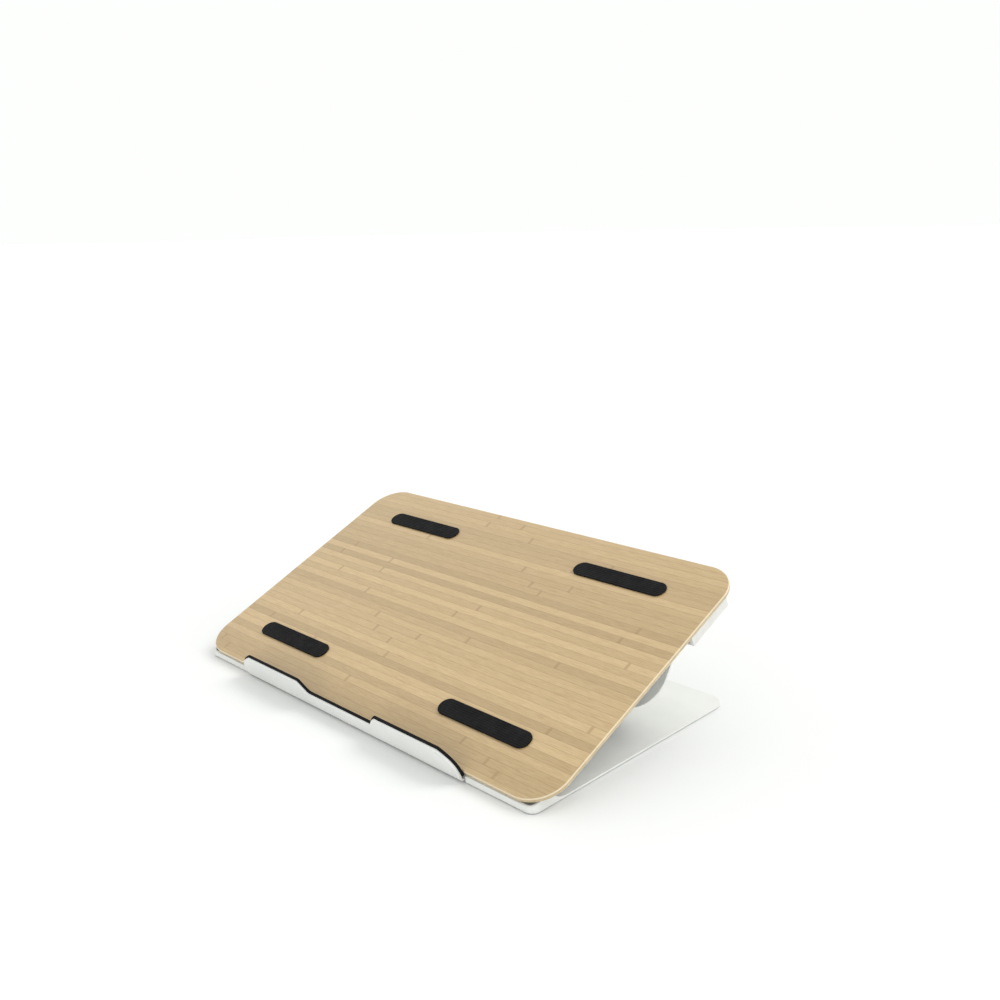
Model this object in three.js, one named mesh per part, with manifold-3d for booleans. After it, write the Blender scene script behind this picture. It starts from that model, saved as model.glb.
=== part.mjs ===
// Folding laptop stand: a white sheet-steel base, a sloping tray with a tan top board and a
// two-tab front lip, and a rear leg that holds the tray up.
// Millimetres, +Z up, +Y to the rear. The origin is under the middle of the stand, on the table.
import * as THREE from "three";
import { mergeVertices } from "three/addons/utils/BufferGeometryUtils.js";
import Module from "manifold-3d";

const wasm = await Module();
wasm.setup();

// ---------------------------------------------------------------- driving dimensions
const TILT = THREE.MathUtils.degToRad(24.2); // slope of the tray when the stand is up
const SHEET = 1.2; // thickness of every steel sheet
const GAP = 0.3; // play between a sheet and what lies on it
const CLEAR = 0.1; // radial play of pins and rivets in their holes

const BASE_WIDTH = 304;
const BASE_DEPTH = 173.7;
const BASE_FRONT_CORNER = 5;
const BASE_REAR_CORNER = 12;
const FOOT_HEIGHT = 0.5;
const BASE_UNDERSIDE = 0.6;
const BASE_TOP = BASE_UNDERSIDE + SHEET;
const LIP_RECESS = 5; // the base is cut back this far where the lip dips in front of it

const WALL_TOP = 3.9; // low wall round each front corner, at the front
const CHEEK_TOP = 8.1; // highest point of the wall, on the base's side
const CHEEK_END_Y = 24; // the wall has run down into the sheet here

const AXIS_HEIGHT = 5.9; // both hinge lines, above the table
const TILT_AXIS_Y = 20.4; // from the front of the base
const LEG_AXIS_Y = 108.4;
const LEG_LENGTH = 64; // hinge line to slide rod
const ROD_OFFSET = 0.65; // slide rod's centre above the plane of the leg's hinge

const BOARD_WIDTH = 319.6;
const BOARD_CORNER = 20.8;
const BOARD_THICKNESS = 3.1;
const BOARD_TOP = 9.9; // above the tilt hinge line, square to the tray
const BOARD_FRONT = -18.95; // along the tray, from the tilt hinge line
const BOARD_REAR = 171;

const LIP_FRONT = -22.1; // outer face of the lip, along the tray
const LIP_HALF_WIDTH = 102.4;
const TAB_TOP = 22.65;
const NOTCH_FLOOR = 14.9; // top of the lip between its two tabs
const NOTCH_HALF_FLOOR = 29;
const NOTCH_HALF_TOP = 38.5;
const TAB_SHOULDER = 90.3; // where the tab's outer end starts to round off
const LINER_THICKNESS = 1.5;
const LINER_PROUD = 0.9;

const HINGE_LENGTH = 44;
const BARREL_RADIUS = 2.6;
const PIN_RADIUS = 1.5;
const LEAF_THICKNESS = 1;
const LEAF_DEPTH = 15;
const RIVET_RADIUS = 1.2;
const RIVET_HEAD_RADIUS = 2.3;
const RIVET_HEAD_HEIGHT = 0.9;

const ROD_RADIUS = 1.6;
const GLIDE_RADIUS = 2.0;
const RAIL_INNER_X = 147.5;
const RAIL_OUTER_X = 156;
const RAIL_FRONT = 119; // along the tray
const RAIL_REAR = 156.5;
const RAIL_EAR = 8;

// ---------------------------------------------------------------- worked-out sizes
const TRAY_TOP = BOARD_TOP - BOARD_THICKNESS - GAP;
const TRAY_UNDERSIDE = TRAY_TOP - SHEET;
const LIP_BACK = LIP_FRONT + SHEET;
const TRAY_INSET = 2; // the tray's edge inside the board's edge
const TRAY_FRONT = BOARD_FRONT + 1.2;
const TRAY_FRONT_CORNER = 33; // big enough to clear the walls on the base's sides
const FLANGE_TOP = TRAY_UNDERSIDE - GAP; // the lip's flange lies under the tray
const FLANGE_UNDERSIDE = FLANGE_TOP - SHEET;
const LIP_BEND = 2; // outer radius of the bend between lip and flange

// Angle of the leg above the table, so that the rod's centre stays ROD_OFFSET below the tray's line.
const HINGE_SPACING = LEG_AXIS_Y - TILT_AXIS_Y;
const rodReach = Math.hypot(LEG_LENGTH, ROD_OFFSET);
const rodRise = ROD_OFFSET + HINGE_SPACING * Math.sin(TILT);
const LEG_ANGLE = TILT + Math.asin(rodRise / rodReach) - Math.atan2(ROD_OFFSET, LEG_LENGTH);

// The lip's tabs reach furthest forward, and the base's rear edge furthest back.
const lipTopY = TILT_AXIS_Y + LIP_FRONT * Math.cos(TILT) - TAB_TOP * Math.sin(TILT);
const CENTRE_Y = (lipTopY + BASE_DEPTH) / 2;

// ---------------------------------------------------------------- materials
function finish(color, roughness, metalness = 0) {
  return () => new THREE.MeshStandardMaterial({ color, roughness, metalness });
}
const whiteSteel = finish(0xeeeeea, 0.45);
const bamboo = finish(0xc9a873, 0.4);
const blackRubber = finish(0x141414, 0.85);
const greyRubber = finish(0x55565a, 0.85);
const steel = finish(0xb8babd, 0.3, 1);
const whiteNylon = finish(0xe2e2de, 0.5);

// ---------------------------------------------------------------- solids
const X = new THREE.Vector3(1, 0, 0);
const Y = new THREE.Vector3(0, 1, 0);
const Z = new THREE.Vector3(0, 0, 1);
const PROFILE_ALONG_X = new THREE.Matrix4().makeBasis(Y, Z, X); // a (y, z) profile
const PROFILE_ALONG_Y = new THREE.Matrix4().makeBasis(X, Z, Y.clone().negate()); // an (x, z) profile

function toManifold(geometry) {
  const bare = geometry.clone();
  bare.deleteAttribute("normal");
  bare.deleteAttribute("uv");
  const merged = mergeVertices(bare, 1e-4);
  return new wasm.Manifold(
    new wasm.Mesh({
      numProp: 3,
      vertProperties: merged.attributes.position.array,
      triVerts: new Uint32Array(merged.index.array),
    }),
  );
}

function toGeometry(solid) {
  const { vertProperties, triVerts } = solid.getMesh();
  const geometry = new THREE.BufferGeometry();
  geometry.setAttribute("position", new THREE.BufferAttribute(new Float32Array(vertProperties), 3));
  geometry.setIndex(new THREE.BufferAttribute(new Uint32Array(triVerts), 1));
  return geometry;
}

function join(...geometries) {
  const solids = geometries.map(toManifold);
  return toGeometry(solids.reduce((whole, solid) => whole.add(solid)));
}

function cut(geometry, ...tools) {
  const solids = tools.map(toManifold);
  return toGeometry(solids.reduce((whole, solid) => whole.subtract(solid), toManifold(geometry)));
}

function mirrored(geometry) {
  return toGeometry(toManifold(geometry).mirror([1, 0, 0]));
}

function withoutRepeats(points) {
  return points.filter((point, index) => point.distanceTo(points.at(index - 1)) > 1e-6);
}

function extrude(shape, depth, curveSegments = 8) {
  const { shape: outline, holes } = shape.extractPoints(curveSegments);
  const clean = new THREE.Shape(withoutRepeats(outline));
  clean.holes = holes.map((hole) => new THREE.Path(withoutRepeats(hole)));
  return new THREE.ExtrudeGeometry(clean, { depth, bevelEnabled: false });
}

// An (x, y) outline made into a plate between two heights.
function plate(shape, bottom, top, curveSegments) {
  return extrude(shape, top - bottom, curveSegments).translate(0, 0, bottom);
}

// A (y, z) profile drawn out along X between two stations.
function alongX(shape, from, to, curveSegments) {
  return extrude(shape, to - from, curveSegments).applyMatrix4(PROFILE_ALONG_X).translate(from, 0, 0);
}

// An (x, z) profile drawn out along Y between two stations.
function alongY(shape, from, to, curveSegments) {
  return extrude(shape, to - from, curveSegments).applyMatrix4(PROFILE_ALONG_Y).translate(0, to, 0);
}

function rod(radius, from, to, segments = 16) {
  const cylinder = new THREE.CylinderGeometry(radius, radius, to - from, segments);
  return cylinder.rotateZ(Math.PI / 2).translate((from + to) / 2, 0, 0);
}

function drill(radius, x, y, bottom, top) {
  const cylinder = new THREE.CylinderGeometry(radius, radius, top - bottom, 8);
  return cylinder.rotateX(Math.PI / 2).translate(x, y, (bottom + top) / 2);
}

function box(x0, x1, y0, y1, z0, z1) {
  const block = new THREE.BoxGeometry(x1 - x0, y1 - y0, z1 - z0);
  return block.translate((x0 + x1) / 2, (y0 + y1) / 2, (z0 + z1) / 2);
}

function polygon(points) {
  return new THREE.Shape(points.map(([x, y]) => new THREE.Vector2(x, y)));
}

// Rounded rectangle between two corners, with one radius at the front and one at the rear.
function roundedRectangle(x0, x1, y0, y1, frontRadius, rearRadius) {
  const shape = new THREE.Shape();
  shape.moveTo((x0 + x1) / 2, y0);
  shape.absarc(x1 - frontRadius, y0 + frontRadius, frontRadius, -Math.PI / 2, 0);
  shape.lineTo(x1, y1 - rearRadius);
  shape.absarc(x1 - rearRadius, y1 - rearRadius, rearRadius, 0, Math.PI / 2);
  shape.lineTo(x0 + rearRadius, y1);
  shape.absarc(x0 + rearRadius, y1 - rearRadius, rearRadius, Math.PI / 2, Math.PI);
  shape.lineTo(x0, y0 + frontRadius);
  shape.absarc(x0 + frontRadius, y0 + frontRadius, frontRadius, Math.PI, Math.PI * 1.5);
  return shape;
}

// ---------------------------------------------------------------- assembly helpers
const stand = new THREE.Group();
stand.position.y = -CENTRE_Y;

const tray = new THREE.Group(); // origin on the tilt hinge line, +Y up the slope
tray.position.set(0, TILT_AXIS_Y, AXIS_HEIGHT);
tray.rotation.x = TILT;
stand.add(tray);

const leg = new THREE.Group(); // origin on the leg's hinge line, +Y towards the slide rod
leg.position.set(0, LEG_AXIS_Y, AXIS_HEIGHT);
leg.rotation.x = LEG_ANGLE;
stand.add(leg);

function add(parent, name, geometry, material) {
  const mesh = new THREE.Mesh(geometry, material());
  mesh.name = name;
  parent.add(mesh);
  return mesh;
}

const SIDES = [
  { side: "left", sign: -1 },
  { side: "right", sign: 1 },
];

// ---------------------------------------------------------------- hinges
// A hinge is two leaves and a pin. Its line runs along X through the origin. The outer leaf has a
// knuckle at each end, the inner leaf one between them.
const FRONT_HINGE_X = 80;
const LEG_HINGE_X = 96;
const RIVET_SPACING = 28;
const RIVET_Y = 9.5;
const KNUCKLE_END = 11;
const KNUCKLE_PLAY = 0.4;
const outerKnuckles = [
  [-HINGE_LENGTH / 2, -HINGE_LENGTH / 2 + KNUCKLE_END],
  [HINGE_LENGTH / 2 - KNUCKLE_END, HINGE_LENGTH / 2],
];
const innerKnuckles = [
  [-HINGE_LENGTH / 2 + KNUCKLE_END + KNUCKLE_PLAY, HINGE_LENGTH / 2 - KNUCKLE_END - KNUCKLE_PLAY],
];

// The leaf's outer face is flat, at height `reach` above the hinge line, and its flange runs to +Y.
function hingeLeaf(knuckles, reach) {
  const barrel = new THREE.Shape();
  barrel.moveTo(-BARREL_RADIUS, reach);
  barrel.lineTo(-BARREL_RADIUS, 0);
  barrel.absarc(0, 0, BARREL_RADIUS, Math.PI, 2 * Math.PI);
  barrel.lineTo(BARREL_RADIUS, reach);
  const bore = new THREE.Path();
  bore.absarc(0, 0, PIN_RADIUS + CLEAR, 0, 2 * Math.PI, true);
  barrel.holes.push(bore);
  const half = HINGE_LENGTH / 2;
  const flange = box(-half, half, BARREL_RADIUS - 0.5, LEAF_DEPTH, reach - LEAF_THICKNESS, reach);
  const blocks = knuckles.map(([from, to]) => alongX(barrel, from, to, 6));
  const holes = [-1, 1].map((end) =>
    drill(RIVET_RADIUS + CLEAR, (end * RIVET_SPACING) / 2, RIVET_Y, reach - 5, reach + 5),
  );
  return cut(join(flange, ...blocks), ...holes);
}

// A domed rivet: its head sits under height zero, its shank runs up to `length`.
function rivet(length) {
  const outline = [
    [0, -RIVET_HEAD_HEIGHT],
    [RIVET_HEAD_RADIUS * 0.6, -RIVET_HEAD_HEIGHT * 0.8],
    [RIVET_HEAD_RADIUS, 0],
    [RIVET_RADIUS, 0],
    [RIVET_RADIUS, length],
    [0, length],
  ];
  const points = outline.map(([radius, height]) => new THREE.Vector2(radius, height));
  return new THREE.LatheGeometry(points, 8).rotateX(Math.PI / 2);
}

// A leaf's two rivets. Their heads sit at height z and their shanks run `length` up or, if it is
// negative, down.
function addRivets(parent, name, y, z, length) {
  [-1, 1].forEach((end, index) => {
    const mesh = add(parent, `${name}_${index + 1}`, rivet(Math.abs(length)), steel);
    mesh.position.set((end * RIVET_SPACING) / 2, y, z);
    if (length < 0) mesh.rotation.x = Math.PI;
  });
}

// Rivet holes through a sheet for the leaf at each side.
function rivetHoles(hingeX, y, bottom, top) {
  const xs = SIDES.flatMap(({ sign }) => [-1, 1].map((end) => sign * hingeX + (end * RIVET_SPACING) / 2));
  return xs.map((x) => drill(RIVET_RADIUS + CLEAR, x, y, bottom - 1, top + 1));
}

// ---------------------------------------------------------------- base
const BASE_LEAF_REACH = AXIS_HEIGHT - BASE_TOP - GAP;
const halfBase = BASE_WIDTH / 2;
const wallStart = LIP_HALF_WIDTH + 1.1;

// The sheet's outline, cut back behind the tray's lip.
function baseOutline() {
  const front = BASE_FRONT_CORNER;
  const rear = BASE_REAR_CORNER;
  const shape = new THREE.Shape();
  shape.moveTo(-wallStart, LIP_RECESS);
  shape.lineTo(wallStart, LIP_RECESS);
  shape.lineTo(wallStart, 0);
  shape.absarc(halfBase - front, front, front, -Math.PI / 2, 0);
  shape.lineTo(halfBase, BASE_DEPTH - rear);
  shape.absarc(halfBase - rear, BASE_DEPTH - rear, rear, 0, Math.PI / 2);
  shape.lineTo(rear - halfBase, BASE_DEPTH);
  shape.absarc(rear - halfBase, BASE_DEPTH - rear, rear, Math.PI / 2, Math.PI);
  shape.lineTo(-halfBase, front);
  shape.absarc(front - halfBase, front, front, Math.PI, Math.PI * 1.5);
  shape.lineTo(-wallStart, 0);
  return shape;
}

// The right-hand wall from above: along the front, round the corner and back along the side.
function wallBand() {
  const radius = BASE_FRONT_CORNER;
  const centreX = halfBase - radius;
  const shape = new THREE.Shape();
  shape.moveTo(wallStart, 0);
  shape.lineTo(centreX, 0);
  shape.absarc(centreX, radius, radius, -Math.PI / 2, 0);
  shape.lineTo(halfBase, CHEEK_END_Y);
  shape.lineTo(halfBase - SHEET, CHEEK_END_Y);
  shape.absarc(centreX, radius, radius - SHEET, 0, -Math.PI / 2, true);
  shape.lineTo(wallStart, SHEET);
  return shape;
}

// What lies above the wall's top edge, as a (y, z) profile. The edge is level at the front, climbs
// along the side under the sloping board and rounds off down to the sheet.
function aboveWall() {
  const riseY = 0.33;
  const peakY = riseY + (CHEEK_TOP - WALL_TOP) / Math.tan(TILT);
  const endZ = BASE_TOP + GAP;
  const shape = new THREE.Shape();
  shape.moveTo(-1, WALL_TOP);
  shape.lineTo(riseY, WALL_TOP);
  shape.lineTo(peakY, CHEEK_TOP);
  shape.bezierCurveTo(peakY + 5.5, CHEEK_TOP + 1, peakY + 6, endZ, CHEEK_END_Y, endZ);
  shape.lineTo(CHEEK_END_Y + 1, endZ);
  shape.lineTo(CHEEK_END_Y + 1, CHEEK_TOP + 4);
  shape.lineTo(-1, CHEEK_TOP + 4);
  return shape;
}

function basePlate() {
  const sheet = plate(baseOutline(), BASE_UNDERSIDE, BASE_TOP, 4);
  const band = plate(wallBand(), BASE_UNDERSIDE, CHEEK_TOP + 2, 4);
  const wall = cut(band, alongX(aboveWall(), wallStart - 1, halfBase + 1, 8));
  const holes = [
    ...rivetHoles(FRONT_HINGE_X, TILT_AXIS_Y + RIVET_Y, BASE_UNDERSIDE, BASE_TOP),
    ...rivetHoles(LEG_HINGE_X, LEG_AXIS_Y - RIVET_Y, BASE_UNDERSIDE, BASE_TOP),
  ];
  return cut(join(sheet, wall, mirrored(wall)), ...holes);
}

function rubberFoot() {
  const radius = 9;
  const outline = [
    [0, 0],
    [radius - 0.2, 0],
    [radius, 0.2],
    [radius, FOOT_HEIGHT],
    [0, FOOT_HEIGHT],
  ];
  const points = outline.map(([r, z]) => new THREE.Vector2(r, z));
  return new THREE.LatheGeometry(points, 18).rotateX(Math.PI / 2);
}

add(stand, "base_plate", basePlate(), whiteSteel);

const FOOT_X = halfBase - 18;
const FOOT_ROWS = [
  { row: "front", y: 20 },
  { row: "rear", y: BASE_DEPTH - 18 },
];
for (const { row, y } of FOOT_ROWS) {
  for (const { side, sign } of SIDES) {
    const foot = add(stand, `foot_${row}_${side}`, rubberFoot(), greyRubber);
    foot.position.set(sign * FOOT_X, y, 0);
  }
}

// A base leaf lies on the base. Its flange runs to the rear (+1) or to the front (-1).
function addBaseHinge(name, axisY, hingeX, direction, side, sign) {
  const centre = new THREE.Group();
  centre.position.set(sign * hingeX, axisY, AXIS_HEIGHT);
  stand.add(centre);
  const leaf = add(centre, `${name}_base_leaf_${side}`, hingeLeaf(outerKnuckles, BASE_LEAF_REACH), steel);
  if (direction > 0) leaf.rotation.y = Math.PI;
  else leaf.rotation.x = Math.PI;
  const pinEnd = HINGE_LENGTH / 2 - 0.5;
  add(centre, `${name}_pin_${side}`, rod(PIN_RADIUS, -pinEnd, pinEnd), steel);
  const headHeight = LEAF_THICKNESS - BASE_LEAF_REACH;
  const shank = headHeight + AXIS_HEIGHT - BASE_UNDERSIDE;
  addRivets(centre, `${name}_base_rivet_${side}`, direction * RIVET_Y, headHeight, -shank);
}
for (const { side, sign } of SIDES) {
  addBaseHinge("tilt_hinge", TILT_AXIS_Y, FRONT_HINGE_X, 1, side, sign);
  addBaseHinge("leg_hinge", LEG_AXIS_Y, LEG_HINGE_X, -1, side, sign);
}

// ---------------------------------------------------------------- tray
const TRAY_LEAF_REACH = TRAY_UNDERSIDE - 0.2;
const RAIL_SCREW_X = RAIL_INNER_X - RAIL_EAR / 2;
const RAIL_SCREW_YS = [RAIL_FRONT + RAIL_EAR / 2, RAIL_REAR + 1.5];
const TAB_CURVE_START = 8; // below this the lip's ends are straight
const LIP_RIVET_XS = [-90, -32, 32, 90];
const LIP_RIVET_Y = LIP_BACK + 8;
const FLANGE_REAR = LIP_BACK + 12.5;

// The lip in (x, height), grown by `proud` all round: two tabs with a low stretch between them, each
// joined to it by an S-curve.
function lipOutline(bottom, proud) {
  const outer = LIP_HALF_WIDTH + proud;
  const shoulder = TAB_SHOULDER + proud / 2;
  const top = TAB_TOP + proud;
  const floor = NOTCH_FLOOR + proud;
  const notchTop = NOTCH_HALF_TOP - proud / 2;
  const notchFloor = NOTCH_HALF_FLOOR - proud / 2;
  const shape = new THREE.Shape();
  shape.moveTo(-outer, bottom);
  shape.lineTo(outer, bottom);
  shape.lineTo(outer, TAB_CURVE_START);
  shape.bezierCurveTo(outer, 15.4, shoulder + 8.7, 18.9 + proud, shoulder, top);
  shape.lineTo(notchTop, top);
  shape.bezierCurveTo(notchTop - 3.3, top, notchFloor + 3.4, floor, notchFloor, floor);
  shape.lineTo(-notchFloor, floor);
  shape.bezierCurveTo(-notchFloor - 3.4, floor, 3.3 - notchTop, top, -notchTop, top);
  shape.lineTo(-shoulder, top);
  shape.bezierCurveTo(-shoulder - 8.7, 18.9 + proud, -outer, 15.4, -outer, TAB_CURVE_START);
  return shape;
}

// Bend between the lip and its flange, as a (y, z) profile.
function lipBendProfile() {
  const centreY = LIP_FRONT + LIP_BEND;
  const centreZ = FLANGE_UNDERSIDE + LIP_BEND;
  const shape = new THREE.Shape();
  shape.moveTo(LIP_FRONT, centreZ + 0.5);
  shape.lineTo(LIP_FRONT, centreZ);
  shape.absarc(centreY, centreZ, LIP_BEND, Math.PI, Math.PI * 1.5);
  shape.lineTo(FLANGE_REAR, FLANGE_UNDERSIDE);
  shape.lineTo(FLANGE_REAR, FLANGE_TOP);
  shape.lineTo(centreY, FLANGE_TOP);
  shape.absarc(centreY, centreZ, LIP_BEND - SHEET, Math.PI * 1.5, Math.PI, true);
  shape.lineTo(LIP_BACK, centreZ + 0.5);
  return shape;
}

function frontLip() {
  const bend = alongX(lipBendProfile(), -LIP_HALF_WIDTH, LIP_HALF_WIDTH, 3);
  const lip = alongY(lipOutline(FLANGE_UNDERSIDE + LIP_BEND, 0), LIP_FRONT, LIP_BACK, 8);
  const holes = LIP_RIVET_XS.map((x) =>
    drill(RIVET_RADIUS + CLEAR, x, LIP_RIVET_Y, FLANGE_UNDERSIDE - 1, FLANGE_TOP + 1),
  );
  return cut(join(bend, lip), ...holes);
}

function trayPlate() {
  const half = BOARD_WIDTH / 2 - TRAY_INSET;
  const rear = BOARD_REAR - TRAY_INSET;
  const outline = roundedRectangle(-half, half, TRAY_FRONT, rear, TRAY_FRONT_CORNER, BOARD_CORNER - TRAY_INSET);
  const sheet = plate(outline, TRAY_UNDERSIDE, TRAY_TOP, 5);
  const holes = rivetHoles(FRONT_HINGE_X, RIVET_Y, TRAY_UNDERSIDE, TRAY_TOP);
  for (const x of LIP_RIVET_XS) {
    holes.push(drill(RIVET_RADIUS + CLEAR, x, LIP_RIVET_Y, TRAY_UNDERSIDE - 1, TRAY_TOP + 1));
  }
  for (const { sign } of SIDES) {
    for (const y of RAIL_SCREW_YS) {
      holes.push(drill(RIVET_RADIUS + CLEAR, sign * RAIL_SCREW_X, y, TRAY_UNDERSIDE - 1, TRAY_TOP + 1));
    }
  }
  return cut(sheet, ...holes);
}

function topBoard() {
  const half = BOARD_WIDTH / 2;
  const outline = roundedRectangle(-half, half, BOARD_FRONT, BOARD_REAR, BOARD_CORNER, BOARD_CORNER);
  return plate(outline, BOARD_TOP - BOARD_THICKNESS, BOARD_TOP, 7);
}

// Rubber liner behind the whole lip, standing a little proud of its edge.
function lipLiner() {
  const front = LIP_BACK + 0.15;
  return alongY(lipOutline(TAB_CURVE_START - 0.5, LINER_PROUD), front, front + LINER_THICKNESS, 8);
}

function gripStrip() {
  const halfLength = 35;
  const halfWidth = 6;
  const outline = roundedRectangle(-halfLength, halfLength, -halfWidth, halfWidth, 5.9, 5.9);
  return plate(outline, BOARD_TOP + 0.2, BOARD_TOP + 1, 3);
}

// Groove open towards the middle of the stand, closed above and below. Two screw ears carry its
// top wall on inwards.
const GROOVE_CENTRE = 0.36;
const GROOVE_HALF_HEIGHT = 2.7;
const RAIL_EAR_UNDERSIDE = GROOVE_CENTRE + GROOVE_HALF_HEIGHT;
function guideRail() {
  const top = TRAY_UNDERSIDE - GAP;
  const grooveFloor = GROOVE_CENTRE - GROOVE_HALF_HEIGHT;
  const grooveBack = RAIL_OUTER_X - 2.5;
  const profile = polygon([
    [RAIL_INNER_X, grooveFloor - 1.2],
    [RAIL_OUTER_X, grooveFloor - 1.2],
    [RAIL_OUTER_X, top],
    [RAIL_INNER_X, top],
    [RAIL_INNER_X, RAIL_EAR_UNDERSIDE],
    [grooveBack, RAIL_EAR_UNDERSIDE],
    [grooveBack, grooveFloor],
    [RAIL_INNER_X, grooveFloor],
  ]);
  const channel = alongY(profile, RAIL_FRONT, RAIL_REAR);
  const half = RAIL_EAR / 2;
  const inner = RAIL_INNER_X - RAIL_EAR;
  const ears = RAIL_SCREW_YS.map((y) =>
    box(inner, RAIL_INNER_X + 1, y - half, y + half, RAIL_EAR_UNDERSIDE, top),
  );
  const holes = RAIL_SCREW_YS.map((y) => drill(RIVET_RADIUS + CLEAR, RAIL_SCREW_X, y, 0, top + 1));
  return cut(join(channel, ...ears), ...holes);
}

add(tray, "tray_plate", trayPlate(), whiteSteel);
add(tray, "front_lip", frontLip(), whiteSteel);
LIP_RIVET_XS.forEach((x, index) => {
  const mesh = add(tray, `lip_rivet_${index + 1}`, rivet(TRAY_TOP - FLANGE_UNDERSIDE), steel);
  mesh.position.set(x, LIP_RIVET_Y, FLANGE_UNDERSIDE);
});
add(tray, "lip_liner", lipLiner(), blackRubber);
add(tray, "top_board", topBoard(), bamboo);

const GRIP_ROWS = [
  { row: "front", y: 12 },
  { row: "rear", y: BOARD_REAR - 30 },
];
for (const { row, y } of GRIP_ROWS) {
  for (const { side, sign } of SIDES) {
    const strip = add(tray, `grip_strip_${row}_${side}`, gripStrip(), blackRubber);
    strip.position.set(sign * 90, y, 0);
  }
}

for (const { side, sign } of SIDES) {
  const centre = new THREE.Group();
  centre.position.x = sign * FRONT_HINGE_X;
  tray.add(centre);
  add(centre, `tilt_hinge_tray_leaf_${side}`, hingeLeaf(innerKnuckles, TRAY_LEAF_REACH), steel);
  const headHeight = TRAY_LEAF_REACH - LEAF_THICKNESS;
  addRivets(centre, `tilt_hinge_tray_rivet_${side}`, RIVET_Y, headHeight, TRAY_TOP - headHeight);

  add(tray, `guide_rail_${side}`, guideRail(), whiteNylon).scale.x = sign;
  RAIL_SCREW_YS.forEach((y, index) => {
    const screw = add(tray, `rail_screw_${side}_${index + 1}`, rivet(TRAY_TOP - RAIL_EAR_UNDERSIDE), steel);
    screw.position.set(sign * RAIL_SCREW_X, y, RAIL_EAR_UNDERSIDE);
  });
}

// ---------------------------------------------------------------- leg
const LEG_HALF_WIDTH = 143;
const LEG_UNDERSIDE = 0.1;
const LEG_TOP = LEG_UNDERSIDE + SHEET;
const LEG_CORNER = 24; // the big lower corners
const LEG_LEAF_REACH = BARREL_RADIUS;
const HEM_BORE = ROD_RADIUS + 0.15;
const HEM_RADIUS = HEM_BORE + 1.2;

function legPlate() {
  const start = BARREL_RADIUS + 1.9;
  const end = LEG_LENGTH - HEM_BORE - 0.5;
  const outline = roundedRectangle(-LEG_HALF_WIDTH, LEG_HALF_WIDTH, start, end, LEG_CORNER, 4);
  const sheet = plate(outline, LEG_UNDERSIDE, LEG_TOP, 5);
  const ring = new THREE.Shape();
  ring.absarc(LEG_LENGTH, ROD_OFFSET, HEM_RADIUS, 0, 2 * Math.PI);
  const bore = new THREE.Path();
  bore.absarc(LEG_LENGTH, ROD_OFFSET, HEM_BORE, 0, 2 * Math.PI, true);
  ring.holes.push(bore);
  const hem = alongX(ring, -LEG_HALF_WIDTH + 5, LEG_HALF_WIDTH - 5, 8);
  const holes = rivetHoles(LEG_HINGE_X, RIVET_Y, LEG_UNDERSIDE, LEG_TOP);
  return cut(join(sheet, hem), ...holes);
}

// Nylon cap over the rod's end, closed outside.
const GLIDE_INNER_X = RAIL_INNER_X + 0.3;
const GLIDE_OUTER_X = RAIL_OUTER_X - 3.1;
const ROD_END_X = GLIDE_OUTER_X - 1.2;
function rodGlide() {
  const length = GLIDE_OUTER_X - GLIDE_INNER_X;
  const boreLength = ROD_END_X + 0.2 - GLIDE_INNER_X;
  const outline = [
    [0, length],
    [0, boreLength],
    [ROD_RADIUS + CLEAR, boreLength],
    [ROD_RADIUS + CLEAR, 0],
    [GLIDE_RADIUS, 0],
    [GLIDE_RADIUS, length - 0.4],
    [GLIDE_RADIUS - 0.4, length],
    [0, length],
  ];
  const points = outline.map(([r, along]) => new THREE.Vector2(r, along));
  return new THREE.LatheGeometry(points, 16).rotateZ(-Math.PI / 2).translate(GLIDE_INNER_X, 0, 0);
}

add(leg, "leg_plate", legPlate(), whiteSteel);
add(leg, "slide_rod", rod(ROD_RADIUS, -ROD_END_X, ROD_END_X), steel).position.set(0, LEG_LENGTH, ROD_OFFSET);
for (const { side, sign } of SIDES) {
  const glide = add(leg, `rod_glide_${side}`, rodGlide(), whiteNylon);
  glide.position.set(0, LEG_LENGTH, ROD_OFFSET);
  glide.scale.x = sign;

  const centre = new THREE.Group();
  centre.position.x = sign * LEG_HINGE_X;
  leg.add(centre);
  add(centre, `leg_hinge_leg_leaf_${side}`, hingeLeaf(innerKnuckles, LEG_LEAF_REACH), steel);
  addRivets(centre, `leg_hinge_leg_rivet_${side}`, RIVET_Y, LEG_LEAF_REACH, LEG_UNDERSIDE - LEG_LEAF_REACH);
}

export default stand;
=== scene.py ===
"""Looks of the folding laptop stand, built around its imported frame.

The stand's sizes are in millimetres. The floor, the lights and the texture scales are in metres.
"""

import math

import bmesh
import bpy
from mathutils import Matrix, Vector
from mathutils.geometry import tessellate_polygon

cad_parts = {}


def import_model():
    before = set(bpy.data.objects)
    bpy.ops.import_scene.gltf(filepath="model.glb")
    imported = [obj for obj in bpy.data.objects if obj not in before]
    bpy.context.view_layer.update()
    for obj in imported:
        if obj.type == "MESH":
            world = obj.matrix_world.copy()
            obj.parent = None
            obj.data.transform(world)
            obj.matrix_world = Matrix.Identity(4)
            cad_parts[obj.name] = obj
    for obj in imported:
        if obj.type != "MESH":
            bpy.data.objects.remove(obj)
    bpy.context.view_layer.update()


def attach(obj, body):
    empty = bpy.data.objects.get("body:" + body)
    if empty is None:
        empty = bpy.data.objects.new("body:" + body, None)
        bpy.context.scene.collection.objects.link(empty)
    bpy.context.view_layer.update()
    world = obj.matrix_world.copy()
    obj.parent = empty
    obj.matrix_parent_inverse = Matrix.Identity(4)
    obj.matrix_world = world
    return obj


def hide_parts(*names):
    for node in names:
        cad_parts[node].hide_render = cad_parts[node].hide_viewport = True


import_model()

MM = 0.001

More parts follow.
